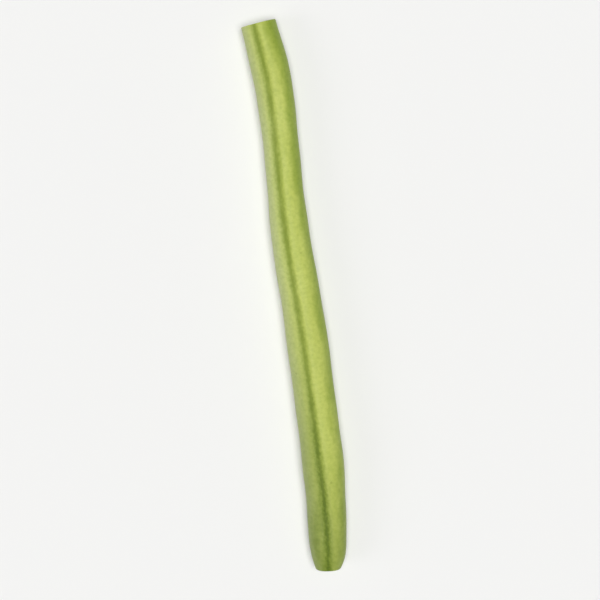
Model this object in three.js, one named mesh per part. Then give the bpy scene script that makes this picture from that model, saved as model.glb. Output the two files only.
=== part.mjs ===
// One trimmed green bean pod, lying on its side with a suture facing up.
//
// Millimetres, +Z up. The pod runs along X: its rounded stem end is at -X and its straight-cut end
// at +X. It bows towards -Y. Both ends are cut flat, so the pod is one closed solid.
import * as THREE from "three";
import { mergeVertices } from "three/addons/utils/BufferGeometryUtils.js";

// Driving sizes.
const LENGTH = 118;
const RINGS = 92;
const SIDES = 40;

// How far the middle of the pod stands to the -Y side of a straight line between its two ends.
// Stations are evenly spaced from the stem end to the straight-cut end, here and below.
const BOW = [0, 1.18, 1.81, 1.8, 1.79, 1.6, 1.09, 1.2, 1.56, 1.43, 0];

// Full width of the pod, before the stem end is rounded off.
const WIDTH = [8.3, 8.5, 9.15, 8.85, 8.95, 8.65, 8.4, 7.75, 7.65, 8.1, 7.55];

// How far the underside arches clear of the ground. It touches near both ends and near the middle.
const ARCH = [0, 0, 0.2, 0.1, 0, 0.1, 0.3, 0.5, 0.5, 0.2, 0];

// A pod is a little flatter than it is wide.
const HEIGHT_TO_WIDTH = 0.95;

// How far the upper suture leans from straight up towards +Y, in degrees.
const SUTURE_LEAN = [2, 5, 10, 12, 13.5, 15.5, 17, 18.5, 19, 18, 17];

// The stem end narrows over SHOULDER_LENGTH to SHOULDER_END of the full width at the cut. It keeps
// its width for longer on the -Y side, where the power is higher.
const SHOULDER_LENGTH = 8;
const SHOULDER_END = 0.64;
const SHOULDER_POWER = 2;
const SHOULDER_POWER_MINUS_Y = 4;

// A shallow crease runs along both sutures.
const CREASE_DEPTH = 0.12;
const CREASE_HALF_WIDTH = 0.6;

// Each seed swells the two sides of the pod between the sutures. The seeds are unevenly spaced.
const SEED_PITCH = 12.4;
const SEED_SWELL = 0.05;
const SEED_WANDER = 2.2;
const SEED_WANDER_LENGTH = 15;

// Rings hold more points near the sutures, where the crease is.
const SUTURE_CROWDING = 0.28;

const SKIN_COLOUR = "#a3b25e";
const SKIN_ROUGHNESS = 0.55;

// A smooth curve through evenly spaced stations, read with a fraction from 0 to 1.
function profileThrough(values) {
  const points = values.map((value) => new THREE.Vector3(value, 0, 0));
  const curve = new THREE.CatmullRomCurve3(points, false, "catmullrom", 0.5);
  return (fraction) => curve.getPoint(THREE.MathUtils.clamp(fraction, 0, 1)).x;
}

const bowAt = profileThrough(BOW);
const archAt = profileThrough(ARCH);
const widthAt = profileThrough(WIDTH);
const sutureLeanAt = profileThrough(SUTURE_LEAN);

// The share of its full radius that the pod has, at an angle measured from straight up towards +Y.
function shoulderAt(fraction, fromUp) {
  const fromStemCut = fraction * LENGTH;
  const intoShoulder = Math.max(0, 1 - fromStemCut / SHOULDER_LENGTH);
  const towardsMinusY = Math.max(0, -Math.sin(fromUp));
  const power = THREE.MathUtils.lerp(SHOULDER_POWER, SHOULDER_POWER_MINUS_Y, towardsMinusY);
  return 1 - (1 - SHOULDER_END) * intoShoulder ** power;
}

// The middle of the pod. The shoulder narrows towards it, so its underside lifts there.
function axisPoint(fraction) {
  const halfHeight = 0.5 * widthAt(fraction) * HEIGHT_TO_WIDTH;
  return new THREE.Vector3((fraction - 0.5) * LENGTH, -bowAt(fraction), halfHeight + archAt(fraction));
}

function axisDirection(fraction) {
  const step = 0.5 / RINGS;
  const before = axisPoint(Math.max(0, fraction - step));
  const after = axisPoint(Math.min(1, fraction + step));
  return after.sub(before).normalize();
}

// Added to the radius at an angle measured round the pod from its upper suture.
function surfaceRelief(fraction, angle, radius) {
  const toNearestSuture = Math.abs(Math.sin(angle)) * radius;
  const crease = -CREASE_DEPTH * Math.exp(-((toNearestSuture / CREASE_HALF_WIDTH) ** 2));
  const fromStemCut = fraction * LENGTH;
  const wander = SEED_WANDER * Math.sin(fromStemCut / SEED_WANDER_LENGTH);
  const seedPhase = (2 * Math.PI * (fromStemCut + wander)) / SEED_PITCH;
  const swell = SEED_SWELL * Math.cos(seedPhase) * Math.sin(angle) ** 2;
  return crease + swell;
}

// A point of the pod. reach is 0 on the axis and 1 on the skin.
function podPoint(fraction, angle, reach) {
  const fromUp = angle + THREE.MathUtils.degToRad(sutureLeanAt(fraction));
  const shoulder = shoulderAt(fraction, fromUp);
  const halfWidth = 0.5 * widthAt(fraction) * shoulder;
  const radius = halfWidth + surfaceRelief(fraction, angle, halfWidth) * shoulder;

  const along = axisDirection(fraction);
  const sideways = new THREE.Vector3(0, 0, 1).cross(along).normalize();
  const up = along.clone().cross(sideways);
  const upwards = HEIGHT_TO_WIDTH * radius * reach * Math.cos(fromUp);
  const outwards = radius * reach * Math.sin(fromUp);
  return axisPoint(fraction).addScaledVector(up, upwards).addScaledVector(sideways, outwards);
}

// A closed cylinder gives the rings and both cut faces, and each of its points moves onto the pod.
function podGeometry() {
  const blank = new THREE.CylinderGeometry(1, 1, 1, SIDES, RINGS);
  blank.deleteAttribute("normal");
  blank.deleteAttribute("uv");
  const geometry = mergeVertices(blank);
  const position = geometry.attributes.position;
  for (let i = 0; i < position.count; i += 1) {
    const fraction = position.getY(i) + 0.5;
    const evenAngle = Math.atan2(-position.getX(i), position.getZ(i));
    const angle = evenAngle - SUTURE_CROWDING * Math.sin(2 * evenAngle);
    const reach = Math.hypot(position.getX(i), position.getZ(i));
    const point = podPoint(fraction, angle, reach);
    position.setXYZ(i, point.x, point.y, point.z);
  }
  geometry.computeBoundingBox();
  const box = geometry.boundingBox;
  geometry.translate(-0.5 * (box.min.x + box.max.x), -0.5 * (box.min.y + box.max.y), -box.min.z);
  geometry.computeVertexNormals();
  return geometry;
}

const skin = new THREE.MeshStandardMaterial({
  color: SKIN_COLOUR,
  roughness: SKIN_ROUGHNESS,
  metalness: 0,
});

const pod = new THREE.Mesh(podGeometry(), skin);
pod.name = "green_bean_pod";

const part = new THREE.Group();
part.name = "green_bean";
part.add(pod);

export default part;
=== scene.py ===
"""Looks for one trimmed green bean pod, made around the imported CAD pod.

The pod lies along X on z = 0, with its rounded stem end at -X and its straight-cut end at +X. It bows
towards -Y. Places come from the CAD pod: its skin is read with rays, and the fine skin follows it.
Lengths are in metres, and a name that ends in _MM or _mm holds millimetres. Angles round the pod are
measured from straight up towards +Y.
"""

import math
from collections import namedtuple

import bpy
import numpy as np
from mathutils import Matrix, Vector, noise
from mathutils.bvhtree import BVHTree


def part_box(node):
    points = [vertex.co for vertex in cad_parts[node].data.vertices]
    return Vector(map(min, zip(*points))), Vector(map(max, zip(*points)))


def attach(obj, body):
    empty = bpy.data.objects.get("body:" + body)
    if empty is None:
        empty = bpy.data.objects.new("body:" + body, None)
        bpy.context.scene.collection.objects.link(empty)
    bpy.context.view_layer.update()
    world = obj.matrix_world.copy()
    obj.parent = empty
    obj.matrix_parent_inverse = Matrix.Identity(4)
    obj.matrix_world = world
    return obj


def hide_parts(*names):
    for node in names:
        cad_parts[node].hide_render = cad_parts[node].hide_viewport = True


MM = 0.001
NODE = "green_bean_pod"

# How the CAD pod is read: sections along it, and rays round each section.
READ_SECTIONS = 120
READ_RAYS = 96
AXIS_INSET_MM = 1.0
RADII_INSET_MM = 0.1
CENTRING_PASSES = 3
SMOOTHING_PASSES = 2
SMOOTHING_WEIGHTS = (0.25, 0.5, 0.25)
AXIS_DEGREE = 9
KEPT_HARMONICS = 14

# Sections near a cut turn until they are parallel to it, over this distance.
CUT_BLEND_MM = 5.0

# The fine skin: rows along it, columns round it, and rings from each rim to the middle of its cut.
ROW_STEP_MM = 0.22
COLUMNS = 132
CUT_RINGS = 29

# Finer rows at both rims, which are rounded off.
RIM_ROWS_MM = (0.0, 0.03, 0.07, 0.12, 0.18, 0.26, 0.36)
RIM_ROUND_MM = 0.13
RIM_ROUND_REACH_MM = 0.07

# Lean of the upper suture from straight up towards +Y, evenly spaced from the stem end, as in the CAD.
SUTURE_LEAN_DEG = (2, 5, 10, 12, 13.5, 15.5, 17, 18.5, 19, 18, 17)


# ---------------------------------------------------------------------------------------------------
# Small tools
# ---------------------------------------------------------------------------------------------------
# Noises whose seeds differ by 1 are read this far apart, counted in lumps.
SEED_STEP = (17.3, 5.1, 9.7)


def through(values, fractions):
    """A Catmull-Rom curve through evenly spaced values, read at fractions from 0 to 1."""
    values = np.asarray(values, float)
    before = 2 * values[:1] - values[1:2]
    after = 2 * values[-1:] - values[-2:-1]
    padded = np.concatenate([before, values, after])
    place = np.clip(fractions, 0, 1) * (len(values) - 1)
    i = np.minimum(place.astype(int), len(values) - 2)
    t = (place - i).reshape((-1,) + (1,) * (values.ndim - 1))
    p0, p1, p2, p3 = padded[i], padded[i + 1], padded[i + 2], padded[i + 3]
    cubic = 3 * (p1 - p2) + p3 - p0
    square = 2 * p0 - 5 * p1 + 4 * p2 - p3
    return p1 + 0.5 * t * (p2 - p0 + t * (square + t * cubic))


def bell(distance, width):
    """1 at distance 0, falling to nearly 0 at twice the width."""
    return np.exp(-((distance / width) ** 2))


def smooth_step(start, full, value):
    """0 at start and before it, 1 at full and past it, smooth between. Either may be the larger."""
    t = np.clip((value - start) / (full - start), 0, 1)
    return t * t * (3 - 2 * t)


def uneven(wave):
    """Turns a wave from -1 to 1 into a strength from 0.2 to 1."""
    return 0.6 + 0.4 * wave


def noise_at(points_mm, size_mm, seed):
    """Smooth noise from -1 to 1 in lumps of about size_mm, given as (along, across, across)."""
    scaled = points_mm / np.asarray(size_mm) + np.array(SEED_STEP) * seed
    flat = scaled.reshape(-1, 3)
    found = [noise.noise(Vector(p)) for p in flat]
    return np.array(found).reshape(points_mm.shape[:-1])


def unit(vectors):
    return vectors / np.linalg.norm(vectors, axis=-1, keepdims=True)


def angles_round(count):
    return np.linspace(0, 2 * math.pi, count, endpoint=False)


# ---------------------------------------------------------------------------------------------------
# Reading the CAD pod
# ---------------------------------------------------------------------------------------------------
def ray_length(tree, start, direction):
    """How far a ray from inside the CAD pod goes before it meets the skin or a cut."""
    return tree.ray_cast(Vector(start), Vector(direction))[3]


def middle_of_section(tree, x, start_y, start_z):
    """The point of the section at x that is halfway between both sides, and top and bottom."""
    y, z = start_y, start_z
    for _ in range(CENTRING_PASSES):
        right = ray_length(tree, (x, y, z), (0, 1, 0))
        left = ray_length(tree, (x, y, z), (0, -1, 0))
        y += 0.5 * (right - left)
        above = ray_length(tree, (x, y, z), (0, 0, 1))
        below = ray_length(tree, (x, y, z), (0, 0, -1))
        z += 0.5 * (above - below)
    return y, z


class PodAxis:
    """The middle line of the CAD pod, and the planes of its sections and its two cuts."""

    def __init__(self, tree, low, high):
        inset = AXIS_INSET_MM * MM
        xs = np.linspace(low.x + inset, high.x - inset, READ_SECTIONS)
        centre = 0.5 * (low + high)
        middles = np.array([middle_of_section(tree, x, centre.y, centre.z) for x in xs])
        fit = np.polynomial.Chebyshev.fit
        self.y = fit(xs, middles[:, 0], AXIS_DEGREE)
        self.z = fit(xs, middles[:, 1], AXIS_DEGREE)
        self.slope_y = self.y.deriv()
        self.slope_z = self.z.deriv()
        self.stem = self.cut(tree, xs[0], -1)
        self.straight = self.cut(tree, xs[-1], 1)

    def cut(self, tree, x, side):
        """Where the axis meets a cut face, and the face's normal, turned to point along +X."""
        start = Vector(self.points(np.array([x]))[0])
        outward = Vector(self.tangents(np.array([x]))[0]) * side
        place, normal, _, _ = tree.ray_cast(start, outward)
        return np.array(place), np.array(normal) * side

    def points(self, xs):
        return np.stack([xs, self.y(xs), self.z(xs)], axis=-1)

    def tangents(self, xs):
        return unit(np.stack([np.ones_like(xs), self.slope_y(xs), self.slope_z(xs)], axis=-1))

    def frames(self, xs):
        """The middles of the sections at xs, and their sideways and up directions."""
        normals = self.tangents(xs)
        for place, cut_normal in (self.stem, self.straight):
            near = 1 - smooth_step(0, CUT_BLEND_MM * MM, np.abs(xs - place[0]))[:, None]
            normals = unit(normals * (1 - near) + cut_normal * near)
        sideways = unit(np.cross((0, 0, 1), normals))
        return self.points(xs), sideways, np.cross(normals, sideways)


def directions(sideways, ups, angles):
    """Unit vectors in each section at each angle."""
    cosines = np.cos(angles)[None, :, None]
    sines = np.sin(angles)[None, :, None]
    return ups[:, None, :] * cosines + sideways[:, None, :] * sines


def read_radii(tree, axis):
    """The CAD pod's radius on an even grid of sections and angles, smoothed along the pod."""
    inset = RADII_INSET_MM * MM
    xs = np.linspace(axis.stem[0][0] + inset, axis.straight[0][0] - inset, READ_SECTIONS)
    middles, sideways, ups = axis.frames(xs)
    rays = directions(sideways, ups, angles_round(READ_RAYS))
    radii = np.array([[ray_length(tree, m, ray) for ray in row] for m, row in zip(middles, rays)])
    before, same, after = SMOOTHING_WEIGHTS
    for _ in range(SMOOTHING_PASSES):
        inner = before * radii[:-2] + same * radii[1:-1] + after * radii[2:]
        radii = np.concatenate([radii[:1], inner, radii[-1:]])
    return radii


def radii_on(grid, fractions):
    """The radii grid read at fractions along the pod, at every column, without the CAD's facets."""
    waves = np.fft.rfft(grid, axis=1)
    waves[:, KEPT_HARMONICS + 1 :] = 0
    wider = np.zeros((len(grid), COLUMNS // 2 + 1), complex)
    wider[:, : waves.shape[1]] = waves
    rounded = np.fft.irfft(wider, COLUMNS, axis=1) * COLUMNS / READ_RAYS
    return through(rounded, fractions)


# ---------------------------------------------------------------------------------------------------
# Relief of the skin and of the cuts
# ---------------------------------------------------------------------------------------------------
# The suture's valley, with a fine raised vein in the middle between two fine lines.
VALLEY_DEPTH_MM = 0.2
VALLEY_WIDTH_MM = 1.0
LINE_DEPTH_MM = 0.03
LINE_OFFSET_MM = 0.36
LINE_WIDTH_MM = 0.16
VEIN_HEIGHT_MM = 0.02
VEIN_WIDTH_MM = 0.16
SUTURE_UNEVEN_SIZE_MM = (6.0, 30.0, 30.0)
SUTURE_UNEVEN_SEED = 1

# The pod is faintly three-sided, more in some places along it than in others.
SIDED_HEIGHT_MM = 0.045
SIDED_COUNT = 3
SIDED_WANDER_MM = 14.0

# Soft lumps, dimples, long fibres and grain: the height of each and the size of its lumps, in mm, and
# its seed.
SKIN_NOISES = (
    (0.07, (11.0, 3.4, 3.4), 2),
    (0.022, (3.6, 1.5, 1.5), 3),
    (0.012, (9.0, 0.55, 0.55), 4),
    (0.006, (0.7, 0.6, 0.6), 5),
)

# The whole skin lies this much lower, so that its highest lumps stay inside the CAD box.
SKIN_SINK_MM = 0.04

# The relief is half as high at a rim, and has its full height this far from it.
RELIEF_FADE_MM = 0.25

# The seed cavity that each cut opens, how far the pulp round it sags, and the first of its three noise
# seeds.
Cavity = namedtuple("Cavity", "half_height_mm half_width_mm depth_mm sag_mm seed")
STEM_CAVITY = Cavity(0.75, 0.45, 0.2, 0.12, 11)
STRAIGHT_CAVITY = Cavity(2.1, 0.8, 0.75, 0.4, 21)

# The lip of a cavity: where it starts to sink and where it is full depth, counted from 0 on the cavity's
# edge to 1 in its middle. Noise moves the lip by up to CAVITY_RAGGED.
CAVITY_LIP = (-0.25, 0.4)
CAVITY_RAGGED = 0.16
CAVITY_RAGGED_SIZE_MM = (1.0, 0.8, 0.8)

# A cut face dishes in from its rim, and is rough and scored by the knife. A reach is 0 at the middle of
# the face and 1 at its rim, and each pair of reaches says where something starts and where it is full.
DISH_MM = 0.12
DISH_REACH = (1.0, 0.86)
SAG_REACH = (0.95, 0.25)
ROUGH_REACH = (1.0, 0.9)
ROUGH_MM = 0.05
ROUGH_SIZE_MM = (1.0, 0.7, 0.7)
SCORE_MM = 0.035
SCORE_SIZE_MM = (1.0, 3.0, 0.22)


def suture_relief(across_mm, strength):
    """The valley where the pod's two halves join, with its lines and its vein."""
    valley = -VALLEY_DEPTH_MM * bell(across_mm, VALLEY_WIDTH_MM)
    lines = -LINE_DEPTH_MM * bell(np.abs(across_mm) - LINE_OFFSET_MM, LINE_WIDTH_MM)
    vein = VEIN_HEIGHT_MM * bell(across_mm, VEIN_WIDTH_MM)
    return valley + strength * (lines + vein)


def skin_relief(points_mm, from_suture, across_mm, along_mm):
    """Everything added to the CAD pod's radius, in mm, away from the rims."""
    strength = uneven(noise_at(points_mm, SUTURE_UNEVEN_SIZE_MM, SUTURE_UNEVEN_SEED))
    shape = suture_relief(across_mm, strength)
    sided = SIDED_HEIGHT_MM * np.cos(SIDED_COUNT * from_suture)
    shape += sided * uneven(np.cos(along_mm / SIDED_WANDER_MM))
    for height_mm, size_mm, seed in SKIN_NOISES:
        shape += height_mm * noise_at(points_mm, size_mm, seed)
    return shape - SKIN_SINK_MM


def cut_relief(reach_fraction, from_suture, radius_mm, cavity):
    """How far a cut face lies below its rim, in mm, and where its seed cavity is, from 0 to 1."""
    up_mm = reach_fraction * radius_mm * np.cos(from_suture)
    side_mm = reach_fraction * radius_mm * np.sin(from_suture)
    place = np.stack([np.full_like(up_mm, cavity.seed), up_mm, side_mm], axis=-1)
    ragged = CAVITY_RAGGED * noise_at(place, CAVITY_RAGGED_SIZE_MM, cavity.seed + 2)
    across = np.hypot(up_mm / cavity.half_height_mm, side_mm / cavity.half_width_mm)
    hollow = smooth_step(*CAVITY_LIP, 1 - across + ragged)
    dish = DISH_MM * smooth_step(*DISH_REACH, reach_fraction)
    sag = cavity.sag_mm * smooth_step(*SAG_REACH, reach_fraction)
    rough = ROUGH_MM * (1 + noise_at(place, ROUGH_SIZE_MM, cavity.seed))
    scores = SCORE_MM * (1 + noise_at(place, SCORE_SIZE_MM, cavity.seed + 1))
    inside = smooth_step(*ROUGH_REACH, reach_fraction)
    return dish + sag + inside * (rough + scores) + cavity.depth_mm * hollow, hollow


# ---------------------------------------------------------------------------------------------------
# The fine pod
# ---------------------------------------------------------------------------------------------------
SkinRows = namedtuple("SkinRows", "places along_mm across_mm flank lean")
CutFace = namedtuple("CutFace", "places reach hollow")


def row_places(length_mm):
    """Distances from the stem cut, in mm: even rows, with finer ones at both rims."""
    rim = np.array(RIM_ROWS_MM)
    count = int(round((length_mm - 2 * rim[-1]) / ROW_STEP_MM))
    even = np.linspace(rim[-1], length_mm - rim[-1], count)
    return np.concatenate([rim[:-1], even, length_mm - rim[-2::-1]])


def skin_rows(axis, grid):
    """Rows of the fine skin, and what its material needs to know in each."""
    stem_x = axis.stem[0][0]
    length_mm = (axis.straight[0][0] - stem_x) / MM
    along_mm = row_places(length_mm)
    fractions = along_mm / length_mm
    middles, sideways, ups = axis.frames(stem_x + along_mm * MM)
    angles = angles_round(COLUMNS)
    rays = directions(sideways, ups, angles)
    cad_radii_mm = radii_on(grid, fractions) / MM
    lean = np.radians(through(SUTURE_LEAN_DEG, fractions))[:, None]
    from_suture = angles[None, :] - lean
    across_mm = np.sin(from_suture) * cad_radii_mm
    cad_points_mm = (middles[:, None, :] + rays * (cad_radii_mm * MM)[..., None]) / MM
    along_grid_mm = np.repeat(along_mm[:, None], COLUMNS, axis=1)

    relief_mm = skin_relief(cad_points_mm, from_suture, across_mm, along_grid_mm)
    to_cut_mm = np.minimum(along_mm, length_mm - along_mm)
    relief_share = smooth_step(-RELIEF_FADE_MM, RELIEF_FADE_MM, to_cut_mm)[:, None]
    rim_mm = (RIM_ROUND_MM * np.exp(-to_cut_mm / RIM_ROUND_REACH_MM))[:, None]
    radii_mm = cad_radii_mm + relief_mm * relief_share - rim_mm
    places = middles[:, None, :] + rays * (radii_mm * MM)[..., None]
    flank = np.repeat(np.sin(angles)[None, :], len(along_mm), axis=0)
    return SkinRows(places, along_grid_mm, across_mm, flank, lean)


def cut_face(rim, cut, lean, cavity):
    """Rings from a rim to the middle of its cut face. They only go in from the cut's plane."""
    centre, normal = cut
    outward = normal if centre[0] > 0 else -normal
    middle = rim.mean(axis=0)
    spokes = rim - middle
    radius_mm = np.linalg.norm(spokes, axis=-1).mean() / MM
    fractions = 1 - np.arange(1, CUT_RINGS + 1) / (CUT_RINGS + 1)
    reach_fraction = np.repeat(fractions[:, None], COLUMNS, axis=1)
    from_suture = np.repeat((angles_round(COLUMNS) - lean)[None, :], CUT_RINGS, axis=0)
    below_mm, hollow = cut_relief(reach_fraction, from_suture, radius_mm, cavity)
    flat = middle + spokes[None, :, :] * fractions[:, None, None]
    return CutFace(flat - outward * (below_mm * MM)[..., None], reach_fraction, hollow)


def mesh_faces(rows):
    """Quads between the rows, and a fan at each end that closes on the two vertices after the rows."""
    columns = np.arange(COLUMNS)
    after = (columns + 1) % COLUMNS
    near = np.arange(rows - 1)[:, None] * COLUMNS
    far = near + COLUMNS
    quads = np.stack([near + columns, far + columns, far + after, near + after], axis=-1)
    stem_centre = rows * COLUMNS
    last = (rows - 1) * COLUMNS
    pairs = list(zip(columns.tolist(), after.tolist()))
    stem_fan = [(a, b, stem_centre) for a, b in pairs]
    straight_fan = [(last + b, last + a, stem_centre + 1) for a, b in pairs]
    return quads.reshape(-1, 4).tolist() + stem_fan + straight_fan


def pod_facts(skin, stem, straight):
    """What the material needs to know, each as its values on the rows and at the two centres."""
    length_mm = skin.along_mm[-1, 0]
    none = np.zeros_like(stem.reach)
    all_length = np.full_like(straight.reach, length_mm)
    none_on_skin = np.zeros_like(skin.along_mm)
    return {
        "pod_along": (none, skin.along_mm, all_length, 0, length_mm),
        "pod_across": (none, skin.across_mm, none, 0, 0),
        "pod_flank": (none, skin.flank, none, 0, 0),
        "cut_face": (none + 1, none_on_skin, none + 1, 1, 1),
        "cut_reach": (stem.reach[::-1], none_on_skin + 1, straight.reach, 0, 0),
        "cut_cavity": (stem.hollow[::-1], none_on_skin, straight.hollow, 1, 1),
    }


def add_facts(mesh, facts):
    for name, (stem, skin, straight, stem_centre, straight_centre) in facts.items():
        centres = [stem_centre, straight_centre]
        values = np.concatenate([stem.ravel(), skin.ravel(), straight.ravel(), centres])
        attribute = mesh.attributes.new(name, "FLOAT", "POINT")
        attribute.data.foreach_set("value", values.astype(np.float32))


def build_pod(node):
    """The fine pod, standing for its CAD node."""
    low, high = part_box(NODE)
    tree = BVHTree.FromPolygons(
        [v.co for v in node.data.vertices], [p.vertices for p in node.data.polygons]
    )
    axis = PodAxis(tree, low, high)
    skin = skin_rows(axis, read_radii(tree, axis))
    stem = cut_face(skin.places[0], axis.stem, skin.lean[0], STEM_CAVITY)
    straight = cut_face(skin.places[-1], axis.straight, skin.lean[-1], STRAIGHT_CAVITY)
    grid = np.concatenate([stem.places[::-1], skin.places, straight.places])
    centres = np.stack([stem.places[-1].mean(axis=0), straight.places[-1].mean(axis=0)])
    vertices = np.concatenate([grid.reshape(-1, 3), centres])
    vertices = np.clip(vertices, np.array(low), np.array(high))

    mesh = bpy.data.meshes.new("green_bean_skin")
    mesh.from_pydata(vertices.tolist(), [], mesh_faces(len(grid)))
    mesh.update()
    mesh.polygons.foreach_set("use_smooth", np.ones(len(mesh.polygons), bool))
    skin_fractions = skin.along_mm[:, 0] / skin.along_mm[-1, 0]
    add_layout(mesh, len(grid), skin_fractions)
    add_facts(mesh, pod_facts(skin, stem, straight))

    pod = bpy.data.objects.new("green_bean_skin", mesh)
    bpy.context.scene.collection.objects.link(pod)
    return pod


# ---------------------------------------------------------------------------------------------------
# Layout of the baked textures
# ---------------------------------------------------------------------------------------------------
# Two long strips of skin, one above the other, and the two cut faces beside each other above them.
LAYOUT_MARGIN = 0.006
STRIP_HEIGHT = 0.424
DISC_RADIUS = 0.06
DISC_V = 1 - LAYOUT_MARGIN - DISC_RADIUS
STEM_DISC_U = LAYOUT_MARGIN + DISC_RADIUS
STRAIGHT_DISC_U = 3 * LAYOUT_MARGIN + 3 * DISC_RADIUS


def grid_place(vertex, rows):
    """Row and column of a vertex. The two centres lie one row past the ends, and have no column."""
    if vertex == rows * COLUMNS:
        return -1, None
    if vertex == rows * COLUMNS + 1:
        return rows, None
    return divmod(vertex, COLUMNS)


def strip_place(along, around, in_upper):
    """A point of the skin in the layout. The stem half is the lower strip, the other the upper one."""
    across = max(2 * along - 1, 0) if in_upper else min(2 * along, 1)
    u = LAYOUT_MARGIN + across * (1 - 2 * LAYOUT_MARGIN)
    v = LAYOUT_MARGIN + around * STRIP_HEIGHT
    return u, v + (STRIP_HEIGHT + 2 * LAYOUT_MARGIN if in_upper else 0)


def disc_place(row, column, rows):
    """A point of a cut face in the layout."""
    on_stem = row < rows / 2
    depth = row + 1 if on_stem else rows - row
    spread = DISC_RADIUS * depth / (CUT_RINGS + 1)
    turn = 2 * math.pi * (column or 0) / COLUMNS
    middle = STEM_DISC_U if on_stem else STRAIGHT_DISC_U
    return middle + spread * math.cos(turn), DISC_V + spread * math.sin(turn)


def skin_face_places(places, skin_fractions):
    """The corners in the layout of one face of the skin, whose vertices are rows and columns."""
    fractions = [skin_fractions[row - CUT_RINGS] for row, _ in places]
    in_upper = np.mean(fractions) >= 0.5
    columns = [column for _, column in places]
    # A face between the last column and the first one ends at the top of its strip.
    if max(columns) - min(columns) > 1:
        columns = [column or COLUMNS for column in columns]
    return [strip_place(f, c / COLUMNS, in_upper) for f, c in zip(fractions, columns)]


def add_layout(mesh, rows, skin_fractions):
    """A layout for the bake, so that its pixels are shared evenly along the thin pod."""
    layer = mesh.uv_layers.new(name="OFBake")
    skin_range = range(CUT_RINGS, rows - CUT_RINGS)
    for face in mesh.polygons:
        places = [grid_place(vertex, rows) for vertex in face.vertices]
        if all(row in skin_range for row, _ in places):
            corners = skin_face_places(places, skin_fractions)
        else:
            corners = [disc_place(row, column, rows) for row, column in places]
        for loop, corner in zip(face.loop_indices, corners):
            layer.data[loop].uv = corner


# ---------------------------------------------------------------------------------------------------
# Material
# ---------------------------------------------------------------------------------------------------
# Noises: the size of the lumps, given as (along, across, across), the seed, and the span of the noise
# that is turned into patches.
Grain = namedtuple("Grain", "size_mm seed span detail roughness", defaults=((0.3, 0.7), 2.0, 0.5))
CLOUDS = Grain((14.0, 5.0, 5.0), 1.0, detail=3.0)
STEM_CLOUDS = Grain((5.0, 2.4, 2.4), 2.0, span=(0.25, 0.7))
MOTTLE = Grain((0.75, 0.9, 0.9), 3.0, detail=2.5, roughness=0.55)
BAND_WOBBLE = Grain((5.0, 2.0, 2.0), 4.0, span=(0.2, 0.8))
BAND_PATCHES = Grain((3.2, 1.2, 1.2), 5.0, span=(0.3, 0.6), detail=3.0)
FLESH_GRAIN = Grain((0.35, 0.35, 0.35), 6.0, detail=3.0, roughness=0.6)
DOWN = Grain((0.5, 0.34, 0.34), 7.0, detail=3.0, roughness=0.6)
FIBRES = Grain((2.4, 0.2, 0.2), 8.0)
# Soft patches along the edge of the painted shade on the -Y flank.
SHADE_EDGE_PATCHES = Grain((6.0, 2.6, 2.6), 9.0, span=(0.25, 0.75), detail=3.0)
BAND_EDGES = Grain((0.8, 0.6, 0.6), 10.0, span=(0.25, 0.75))
SCAR_EDGES = Grain((0.5, 0.4, 0.4), 11.0, span=(0.2, 0.8))
PITH_FLECKS = Grain((0.9, 0.5, 0.5), 12.0, span=(0.55, 0.7))

# The mottle lightens the skin over one span of its noise and darkens it over another.
MOTTLE_LIGHT_SPAN = (0.46, 0.72)
MOTTLE_DARK_SPAN = (0.52, 0.28)

# Colours of the skin. The tints multiply what they lie on.
SKIN_DEEP = (0.44, 0.508, 0.094, 1)
SKIN_BRIGHT = (0.50, 0.562, 0.126, 1)
# Painted sheen: the +Y flank is paler and greyer, as if it caught a pale reflection.
PAINTED_SHEEN_FLANK = (0.447, 0.505, 0.212, 1)
# Painted shade: the -Y flank is darker and deeper green, as if shaded.
PAINTED_SHADE_FLANK = (0.18, 0.275, 0.014, 1)
PALE_STRETCH_TINT = (1.06, 1.055, 1.15, 1)
MOTTLE_LIGHT_TINT = (1.09, 1.07, 1.13, 1)
MOTTLE_DARK_TINT = (0.89, 0.915, 0.87, 1)
DULL_STEM = (0.19, 0.25, 0.04, 1)
# The sutures' own dark green with painted shade of their groove, and the band's darker core.
SUTURE_GREEN_AND_SHADE = (0.125, 0.19, 0.006, 1)
SUTURE_CORE_GREEN_AND_SHADE = (0.055, 0.10, 0.006, 1)
SCAR = (0.12, 0.17, 0.02, 1)

# Colours of the cuts.
FLESH_DARK = (0.20, 0.29, 0.06, 1)
FLESH_LIGHT = (0.36, 0.44, 0.13, 1)
FLESH_INNER = (0.17, 0.25, 0.045, 1)
PITH = (0.42, 0.50, 0.24, 1)
# Painted highlight: a thin pale ring just inside the skin of a cut.
PAINTED_RIM_HIGHLIGHT = (0.60, 0.66, 0.31, 1)
SKIN_EDGE = (0.36, 0.45, 0.08, 1)
CAVITY_SHADE = (0.08, 0.13, 0.02, 1)

# Where the colours of a cut start and are full, from 0 at its middle to 1 at its rim, and how strong
# they are.
FLESH_INNER_REACH = (0.8, 0.35)
FLESH_INNER_STRENGTH = 0.6
PITH_STRENGTH = 0.45
PAINTED_RIM_HIGHLIGHT_REACH = (0.87, 0.94)
PAINTED_RIM_HIGHLIGHT_STRENGTH = 0.8
SKIN_EDGE_REACH = (0.955, 0.99)
CAVITY_SHADE_STRENGTH = 0.75

# A pair of places says where a look starts and where it is full. These are in mm from the stem cut.
NEAR_STEM_MM = (55.0, 8.0)
DULL_SIDE_MM = (62.0, 4.0)
DULL_SIDE_TIP_MM = (18.0, 8.0)
BRIGHT_SIDE_MM = (30.0, 0.0)
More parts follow.
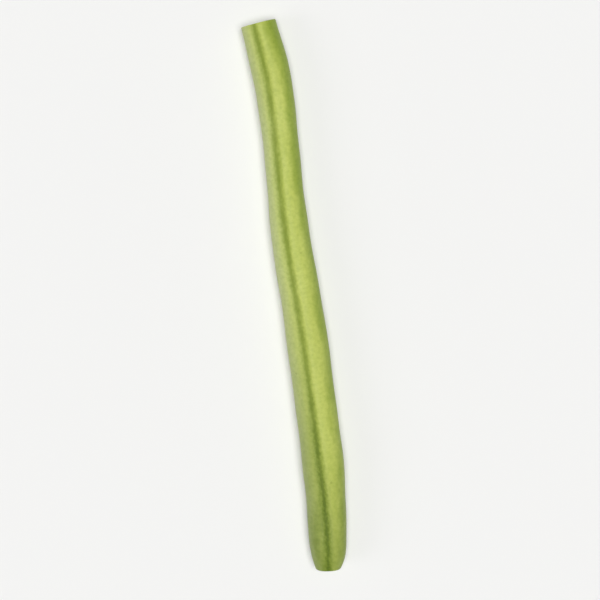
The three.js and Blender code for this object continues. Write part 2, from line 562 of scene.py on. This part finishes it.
# The painted shade on the -Y flank reaches further round the pod over the far half and at the straight
# end.
SHADE_FAR_HALF_MM = (50.0, 95.0)
SHADE_STRAIGHT_END_MM = (104.0, 114.0)
PALE_STRETCH_START_MM = (55.0, 72.0)
PALE_STRETCH_END_MM = (108.0, 94.0)
SWING_MM = (5.0, 0.0)
SWING_FADE_MM = (16.0, 8.0)

# The flanks: 1 is straight towards +Y and -1 straight towards -Y. The +Y flank has a painted sheen and
# the -Y flank painted shade. A shift below 0 moves the edge of the painted shade up the pod, and one
# above 0 moves it down.
PAINTED_SHEEN_FLANK_SPAN = (0.2, 0.95)
PAINTED_SHEEN_FLANK_STRENGTH = 0.8
PAINTED_SHADE_FLANK_SPAN = (-0.45, -1.05)
PAINTED_SHADE_FLANK_STRENGTH = 0.72
SHADE_EDGE_PATCH_SHIFT = 0.14
SHADE_FAR_HALF_SHIFT = -0.17
SHADE_STRAIGHT_END_SHIFT = -0.17

# The dull stem end. The dull side starts and is full at these distances to the +Y side of a suture.
DULL_SIDE_ACROSS_MM = (-0.25, 0.35)
DULL_SIDE_STRENGTH = 0.72
DULL_SIDE_TIP_STRENGTH = 0.2
BRIGHT_SIDE_STRENGTH = 0.62
STEM_CLOUD_STRENGTH = (0.7, 1.0)

# The dark band at both sutures, their own dark green with painted shade of the groove: half its width
# where it ends and where it is full, how far its middle swings in the last stretch before the stem cut,
# how ragged it is, and its darker core near the stem.
# A pair that is named FAR_AND_NEAR has a value far from the stem and one near it.
BAND_HALF_WIDTH_FAR_AND_NEAR_MM = (1.35, 1.7)
BAND_FULL_MM = 0.05
BAND_STRENGTH_FAR_AND_NEAR = (0.7, 0.87)
BAND_PATCH_STRENGTH = (0.8, 1.0)
BAND_WOBBLE_MM = 0.12
BAND_RAGGED_FAR_AND_NEAR_MM = (0.16, 0.26)
BAND_SWING_MM = (-0.13, 0.4)
CORE_HALF_WIDTH_MM = (0.6, 0.0)
CORE_STRENGTH = 0.45

# Small dark scars in the skin: distance from the stem cut, distance to the +Y side of the sutures and
# radius, all in mm, and strength. Each shows on the upper side and again on the underside. The outside
# and the core are given in radii, and a scar is full inside its core.
SCARS = (
    (20.0, -1.9, 0.26, 0.24),
    (7.0, 2.2, 0.8, 0.3),
    (69.5, -2.6, 0.25, 0.25),
    (44.0, 2.6, 0.3, 0.3),
)
SCAR_OUTSIDE = 1.5
SCAR_CORE = 0.4
SCAR_RAGGED_MM = 0.12

# What is the same all over the pod.
SHADER_SETTINGS = {
    "IOR": 1.42,
    "Specular IOR Level": 0.36,
    "Subsurface Weight": 0.15,
    "Subsurface Radius": (0.9, 1.1, 0.35),
    "Subsurface Scale": 0.6 * MM,
    "Sheen Weight": 0.09,
    "Sheen Roughness": 0.45,
    "Sheen Tint": (0.93, 0.96, 0.85, 1),
}

# Roughness of the skin where its down is thin and where it is thick, what a suture adds, and roughness
# of a cut and of its cavity.
SKIN_ROUGHNESS = (0.48, 0.62)
SUTURE_ROUGHNESS = 0.15
SUTURE_ROUGH_SPAN_MM = (1.2, 0.2)
CUT_ROUGHNESS = (0.34, 0.16)

# Height and strength of the bumps. The fibres are FIBRE_SHARE as high as the down.
BUMP_MM = 0.03
BUMP_STRENGTH = 0.6
FIBRE_SHARE = 0.5

# Places of the two inputs and the result of a Mix node, for numbers and for colours.
MIX_NUMBERS = (2, 3, 0)
MIX_COLOURS = (6, 7, 2)


class Nodes:
    """Short ways to add the few kinds of node that the materials use."""

    def __init__(self, material):
        material.use_nodes = True
        self.tree = material.node_tree
        self.tree.nodes.clear()

    def add(self, kind, **settings):
        node = self.tree.nodes.new("ShaderNode" + kind)
        for name, value in settings.items():
            setattr(node, name, value)
        return node

    def link(self, source, target):
        self.tree.links.new(source, target)

    def fill(self, socket, value):
        """Links the socket if value is another socket, and otherwise sets it."""
        if isinstance(value, bpy.types.NodeSocket):
            self.link(value, socket)
        else:
            socket.default_value = value

    def fact(self, name):
        return self.add("Attribute", attribute_name=name).outputs["Fac"]

    def stretched(self, size_mm):
        """Object coordinates counted in lumps of size_mm."""
        place = self.add("TexCoord").outputs["Object"]
        scale = self.add("VectorMath", operation="MULTIPLY")
        self.link(place, scale.inputs[0])
        scale.inputs[1].default_value = [1 / (s * MM) for s in size_mm]
        return scale.outputs["Vector"]

    def noise(self, grain):
        node = self.add("TexNoise", noise_dimensions="4D")
        self.link(self.stretched(grain.size_mm), node.inputs["Vector"])
        node.inputs["W"].default_value = grain.seed
        node.inputs["Scale"].default_value = 1.0
        node.inputs["Detail"].default_value = grain.detail
        node.inputs["Roughness"].default_value = grain.roughness
        return node.outputs["Fac"]

    def ramp(self, value, span, to=(0.0, 1.0)):
        """A smooth change of value from the ends of span to the ends of to."""
        node = self.add("MapRange", interpolation_type="SMOOTHSTEP")
        self.fill(node.inputs["Value"], value)
        self.fill(node.inputs["From Min"], span[0])
        self.fill(node.inputs["From Max"], span[1])
        self.fill(node.inputs["To Min"], to[0])
        self.fill(node.inputs["To Max"], to[1])
        return node.outputs["Result"]

    def patches(self, grain, to=(0.0, 1.0)):
        """Noise as soft patches, from the ends of the grain's span to the ends of to."""
        return self.ramp(self.noise(grain), grain.span, to)

    def maths(self, operation, a, b=0.0):
        node = self.add("Math", operation=operation)
        self.fill(node.inputs[0], a)
        self.fill(node.inputs[1], b)
        return node.outputs["Value"]

    def plus(self, a, b):
        return self.maths("ADD", a, b)

    def minus(self, a, b):
        return self.maths("SUBTRACT", a, b)

    def times(self, a, b):
        return self.maths("MULTIPLY", a, b)

    def mixed(self, node, places, factor, a, b):
        first, second, result = places
        self.fill(node.inputs["Factor"], factor)
        self.fill(node.inputs[first], a)
        self.fill(node.inputs[second], b)
        return node.outputs[result]

    def blend(self, factor, a, b, kind="MIX"):
        """Colour a where the factor is 0, and b, or b times a with kind MULTIPLY, where it is 1."""
        node = self.add("Mix", data_type="RGBA", blend_type=kind)
        return self.mixed(node, MIX_COLOURS, factor, a, b)

    def blend_numbers(self, factor, a, b):
        """Number a where the factor is 0 and b where it is 1."""
        node = self.add("Mix", data_type="FLOAT")
        return self.mixed(node, MIX_NUMBERS, factor, a, b)


def skin_base(n):
    """Yellow-green in soft clouds, with a paler stretch, a painted sheen on the +Y flank and painted
    shade on the -Y one.
    """
    along = n.fact("pod_along")
    flank = n.fact("pod_flank")
    base = n.blend(n.patches(CLOUDS), SKIN_DEEP, SKIN_BRIGHT)
    # Painted sheen on the +Y flank.
    base = n.blend(n.ramp(flank, PAINTED_SHEEN_FLANK_SPAN, (0.0, PAINTED_SHEEN_FLANK_STRENGTH)), base, PAINTED_SHEEN_FLANK)
    pale_stretch = n.times(n.ramp(along, PALE_STRETCH_START_MM), n.ramp(along, PALE_STRETCH_END_MM))
    base = n.blend(pale_stretch, base, PALE_STRETCH_TINT, kind="MULTIPLY")

    # Painted shade on the -Y flank, with a soft uneven edge, reaching further round the pod in the far
    # half and at the straight end.
    patches = n.patches(SHADE_EDGE_PATCHES, (-SHADE_EDGE_PATCH_SHIFT, SHADE_EDGE_PATCH_SHIFT))
    shade_far_half = n.times(n.ramp(along, SHADE_FAR_HALF_MM), SHADE_FAR_HALF_SHIFT)
    shade_straight_end = n.times(n.ramp(along, SHADE_STRAIGHT_END_MM), SHADE_STRAIGHT_END_SHIFT)
    shade_edge = n.plus(n.plus(flank, patches), n.plus(shade_far_half, shade_straight_end))
    painted_shade = n.ramp(shade_edge, PAINTED_SHADE_FLANK_SPAN, (0.0, PAINTED_SHADE_FLANK_STRENGTH))
    return n.blend(painted_shade, base, PAINTED_SHADE_FLANK)


def with_stem_shade(n, base):
    """The stem end is duller, most of all on the +Y side of the suture."""
    along = n.fact("pod_along")
    cloud = n.patches(STEM_CLOUDS, STEM_CLOUD_STRENGTH)
    dull_side = n.ramp(n.fact("pod_across"), DULL_SIDE_ACROSS_MM)
    on_dull_side = n.plus(
        n.ramp(along, DULL_SIDE_MM, (0.0, DULL_SIDE_STRENGTH)),
        n.ramp(along, DULL_SIDE_TIP_MM, (0.0, DULL_SIDE_TIP_STRENGTH)),
    )
    on_bright_side = n.ramp(along, BRIGHT_SIDE_MM, (0.0, BRIGHT_SIDE_STRENGTH))
    amount = n.ramp(dull_side, (0.0, 1.0), (on_bright_side, on_dull_side))
    return n.blend(n.times(amount, cloud), base, DULL_STEM)


def with_mottle(n, base):
    """Fine soft grain that lightens and darkens whatever colour it lies on."""
    mottle = n.noise(MOTTLE)
    base = n.blend(n.ramp(mottle, MOTTLE_LIGHT_SPAN), base, MOTTLE_LIGHT_TINT, kind="MULTIPLY")
    return n.blend(n.ramp(mottle, MOTTLE_DARK_SPAN), base, MOTTLE_DARK_TINT, kind="MULTIPLY")


def suture_distance(n):
    """Distance from the middle of the nearest suture's band, in mm. The band swings at the stem end."""
    along = n.fact("pod_along")
    swing = n.times(n.ramp(along, SWING_MM, BAND_SWING_MM), n.ramp(along, SWING_FADE_MM))
    return n.maths("ABSOLUTE", n.minus(n.fact("pod_across"), swing))


def with_sutures(n, base):
    """A soft dark green band along both sutures, their own colour with painted shade of the groove,
    wider, darker and blotchy towards the stem.
    """
    near_stem = n.ramp(n.fact("pod_along"), NEAR_STEM_MM)
    wobble = n.patches(BAND_WOBBLE, (-BAND_WOBBLE_MM, BAND_WOBBLE_MM))
    raggedness = n.ramp(near_stem, (0.0, 1.0), BAND_RAGGED_FAR_AND_NEAR_MM)
    ragged = n.times(n.patches(BAND_EDGES, (-1.0, 1.0)), raggedness)
    distance = n.plus(n.plus(suture_distance(n), wobble), ragged)

    half_width = n.ramp(near_stem, (0.0, 1.0), BAND_HALF_WIDTH_FAR_AND_NEAR_MM)
    patches = n.patches(BAND_PATCHES, BAND_PATCH_STRENGTH)
    strength = n.ramp(near_stem, (0.0, 1.0), BAND_STRENGTH_FAR_AND_NEAR)
    band = n.times(n.ramp(distance, (half_width, BAND_FULL_MM)), n.times(patches, strength))
    # The sutures' own green with painted shade of the groove.
    base = n.blend(band, base, SUTURE_GREEN_AND_SHADE)
    core_strength = n.ramp(near_stem, (0.0, 1.0), (0.0, CORE_STRENGTH))
    core = n.times(n.ramp(distance, CORE_HALF_WIDTH_MM), core_strength)
    return n.blend(core, base, SUTURE_CORE_GREEN_AND_SHADE)


def with_scars(n, base):
    """The few small scars and darker dots of a real pod."""
    ragged = n.patches(SCAR_EDGES, (-SCAR_RAGGED_MM, SCAR_RAGGED_MM))
    for along_mm, across_mm, radius_mm, strength in SCARS:
        off_along = n.minus(n.fact("pod_along"), along_mm)
        off_across = n.minus(n.fact("pod_across"), across_mm)
        squares = n.plus(n.times(off_along, off_along), n.times(off_across, off_across))
        distance = n.plus(n.maths("SQRT", squares), ragged)
        scar = n.ramp(distance, (SCAR_OUTSIDE * radius_mm, SCAR_CORE * radius_mm), (0.0, strength))
        base = n.blend(scar, base, SCAR)
    return base


def skin_colour(n):
    base = with_stem_shade(n, skin_base(n))
    return with_scars(n, with_sutures(n, with_mottle(n, base)))


def cut_colour(n):
    """The cut: a painted highlight in a thin pale ring under the skin, dark wet green flesh, and a
    darker seed cavity.
    """
    reach_fraction = n.fact("cut_reach")
    flesh = n.blend(n.patches(FLESH_GRAIN), FLESH_DARK, FLESH_LIGHT)
    inner = n.ramp(reach_fraction, FLESH_INNER_REACH, (0.0, FLESH_INNER_STRENGTH))
    flesh = n.blend(inner, flesh, FLESH_INNER)
    pith = n.patches(PITH_FLECKS, (0.0, PITH_STRENGTH))
    flesh = n.blend(n.times(pith, inner), flesh, PITH)
    # Painted highlight in a thin ring under the skin.
    rim_highlight = n.ramp(reach_fraction, PAINTED_RIM_HIGHLIGHT_REACH, (0.0, PAINTED_RIM_HIGHLIGHT_STRENGTH))
    flesh = n.blend(rim_highlight, flesh, PAINTED_RIM_HIGHLIGHT)
    flesh = n.blend(n.ramp(reach_fraction, SKIN_EDGE_REACH), flesh, SKIN_EDGE)
    return n.blend(n.times(n.fact("cut_cavity"), CAVITY_SHADE_STRENGTH), flesh, CAVITY_SHADE)


def bean_roughness(n, down):
    """Satin skin, rougher in the sutures, and moist cuts."""
    suture = n.ramp(suture_distance(n), SUTURE_ROUGH_SPAN_MM, (0.0, SUTURE_ROUGHNESS))
    skin = n.plus(n.ramp(down, DOWN.span, SKIN_ROUGHNESS), suture)
    cut = n.ramp(n.fact("cut_cavity"), (0.0, 1.0), CUT_ROUGHNESS)
    return n.blend_numbers(n.fact("cut_face"), skin, cut)


def bean_bump(n, down):
    """Fine down over long fibres."""
    bump = n.add("Bump")
    bump.inputs["Strength"].default_value = BUMP_STRENGTH
    bump.inputs["Distance"].default_value = BUMP_MM * MM
    n.link(n.plus(n.times(n.noise(FIBRES), FIBRE_SHARE), down), bump.inputs["Height"])
    return bump.outputs["Normal"]


def bean_material():
    material = bpy.data.materials.new("fresh_bean_pod")
    n = Nodes(material)
    down = n.noise(DOWN)
    shader = n.add("BsdfPrincipled")
    colour = n.blend(n.fact("cut_face"), skin_colour(n), cut_colour(n))
    n.link(colour, shader.inputs["Base Color"])
    n.link(bean_roughness(n, down), shader.inputs["Roughness"])
    n.link(bean_bump(n, down), shader.inputs["Normal"])
    for name, value in SHADER_SETTINGS.items():
        shader.inputs[name].default_value = value
    n.link(shader.outputs["BSDF"], n.add("OutputMaterial").inputs["Surface"])
    return material


# ---------------------------------------------------------------------------------------------------
# Studio
# ---------------------------------------------------------------------------------------------------
# White paper: flat round the pod, and rising gently far away, so that low views end on paper too.
FLAT_RADIUS = 0.9
SWEEP_RADIUS = 2.6
SWEEP_RISE = 0.46
SWEEP_POWER = 1.5
SWEEP_RINGS = 12
FLOOR_SIDES = 64
PAPER_SETTINGS = {
    "Base Color": (0.86, 0.86, 0.85, 1),
    "Roughness": 0.9,
    "Specular IOR Level": 0.1,
}

# Wide soft suns, which light the paper evenly. Each shines from its place towards the origin.
Key = namedtuple("Key", "name place width_deg strength")
KEYS = (
    Key("key_overhead", (0.04, -0.04, 0.75), 34, 2.85),
    Key("key_left", (-0.05, 0.6, 0.42), 30, 0.38),
)
WORLD_STRENGTH = 0.06

# The camera looks down on the pod from a little towards its straight-cut end. That end is at the
# picture's top and leans to the left.
CAMERA_TILT_DEG = 7.9
CAMERA_ROLL_DEG = 7.3
CAMERA_DISTANCE = 0.432
CAMERA_LENS_MM = 122
CAMERA_CLIP = (0.01, 50)


def paper_mesh():
    """A flat disc in the middle of rings that rise towards the outside."""
    sweep = np.linspace(FLAT_RADIUS, SWEEP_RADIUS, SWEEP_RINGS)
    radii = np.concatenate([[FLAT_RADIUS / 2], sweep])
    out = np.clip((radii - FLAT_RADIUS) / (SWEEP_RADIUS - FLAT_RADIUS), 0, 1)
    heights = SWEEP_RISE * out**SWEEP_POWER
    turns = angles_round(FLOOR_SIDES)
    points = [(r * math.cos(t), r * math.sin(t), z) for r, z in zip(radii, heights) for t in turns]
    faces = [tuple(range(FLOOR_SIDES))]
    for ring in range(len(radii) - 1):
        near = ring * FLOOR_SIDES
        far = near + FLOOR_SIDES
        for side in range(FLOOR_SIDES):
            after = (side + 1) % FLOOR_SIDES
            faces.append((near + side, far + side, far + after, near + after))
    mesh = bpy.data.meshes.new("floor")
    mesh.from_pydata(points, [], faces)
    mesh.polygons.foreach_set("use_smooth", np.ones(len(mesh.polygons), bool))
    return mesh


def paper_material():
    material = bpy.data.materials.new("white_paper")
    n = Nodes(material)
    shader = n.add("BsdfPrincipled")
    for name, value in PAPER_SETTINGS.items():
        shader.inputs[name].default_value = value
    n.link(shader.outputs["BSDF"], n.add("OutputMaterial").inputs["Surface"])
    return material


def add_floor():
    floor = bpy.data.objects.new("floor", paper_mesh())
    floor.data.materials.append(paper_material())
    bpy.context.scene.collection.objects.link(floor)


def add_key(key):
    data = bpy.data.lights.new(key.name, "SUN")
    data.angle = math.radians(key.width_deg)
    data.energy = key.strength
    lamp = bpy.data.objects.new(key.name, data)
    lamp.location = key.place
    lamp.rotation_euler = (-Vector(key.place)).to_track_quat("-Z", "Y").to_euler()
    bpy.context.scene.collection.objects.link(lamp)


def add_lights():
    for key in KEYS:
        add_key(key)
    world = bpy.data.worlds.new("studio")
    world.use_nodes = True
    background = world.node_tree.nodes["Background"]
    background.inputs["Color"].default_value = (1, 1, 1, 1)
    background.inputs["Strength"].default_value = WORLD_STRENGTH
    bpy.context.scene.world = world
    bpy.context.scene.view_settings.view_transform = "Standard"


def add_camera():
    low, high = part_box(NODE)
    target = 0.5 * (low + high)
    tilt = math.radians(CAMERA_TILT_DEG)
    away = Vector((math.sin(tilt), 0, math.cos(tilt)))
    forward = -away
    up = (Vector((1, 0, 0)) - forward * forward.x).normalized()
    right = forward.cross(up)
    roll = math.radians(CAMERA_ROLL_DEG)
    rolled_up = up * math.cos(roll) + right * math.sin(roll)
    rolled_right = right * math.cos(roll) - up * math.sin(roll)
    turn = Matrix((rolled_right, rolled_up, away)).transposed()

    data = bpy.data.cameras.new("camera")
    data.lens = CAMERA_LENS_MM
    data.clip_start, data.clip_end = CAMERA_CLIP
    camera = bpy.data.objects.new("camera", data)
    camera.matrix_world = Matrix.Translation(target + away * CAMERA_DISTANCE) @ turn.to_4x4()
    bpy.context.scene.collection.objects.link(camera)
    bpy.context.scene.camera = camera


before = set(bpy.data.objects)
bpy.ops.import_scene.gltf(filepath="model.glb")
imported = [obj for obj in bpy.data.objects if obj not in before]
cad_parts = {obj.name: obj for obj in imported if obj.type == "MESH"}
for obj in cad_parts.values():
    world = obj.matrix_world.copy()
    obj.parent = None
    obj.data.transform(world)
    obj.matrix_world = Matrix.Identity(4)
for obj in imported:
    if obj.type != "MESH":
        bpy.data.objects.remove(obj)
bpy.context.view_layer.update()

add_camera()
pod = build_pod(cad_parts[NODE])
pod.data.materials.append(bean_material())
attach(pod, "root")
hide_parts(NODE)
add_floor()
add_lights()
